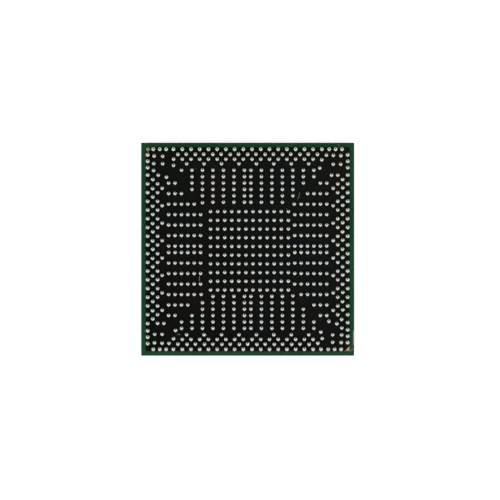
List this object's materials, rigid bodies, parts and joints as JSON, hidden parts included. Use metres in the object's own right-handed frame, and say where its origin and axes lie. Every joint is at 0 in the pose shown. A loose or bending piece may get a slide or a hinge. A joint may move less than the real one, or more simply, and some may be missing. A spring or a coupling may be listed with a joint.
{
  "type": "ball grid array chip",
  "caption": "Flip-chip ball grid array package: a thin green laminated board with small solder balls on one face and a bare silicon die on the other.",
  "frame": {"origin": "on the plane of the die's back, below the centre of the square board", "axes": "+Z out of the ball side, +X east and +Y north along the board's edges, with the pin one corner south-east"},
  "size_m": [0.02, 0.02, 0.0016],
  "materials": {
    "laminate": "sawn glass-filled laminate",
    "mask": "green solder mask, satin, nearly black over copper",
    "copper": "rolled copper under the mask",
    "bare_copper": "bare, dulled copper",
    "plated_copper": "gold-plated copper",
    "solder": "bright tin solder",
    "silicon": "polished bare silicon",
    "underfill": "dark cured resin"
  },
  "bodies": {
    "root": {"laminate": "laminate", "ball_side_copper": "copper", "ball_side_mask": "mask", "die_side_mask": "mask", "ball_lands": "copper", "corner_land": "bare_copper", "ball_side_mark": "bare_copper", "die_side_mark": "plated_copper", "die": "silicon", "die_bumps": "solder", "underfill": "underfill", "core_balls": "solder", "north_edge_balls": "solder", "west_edge_balls": "solder", "south_edge_balls": "solder", "east_edge_balls": "solder", "north_fan_balls": "solder", "west_fan_balls": "solder", "south_fan_balls": "solder", "east_fan_balls": "solder", "northwest_corner_balls": "solder", "southwest_corner_balls": "solder", "southeast_corner_balls": "solder", "northeast_corner_balls": "solder"}
  },
  "joints": []
}
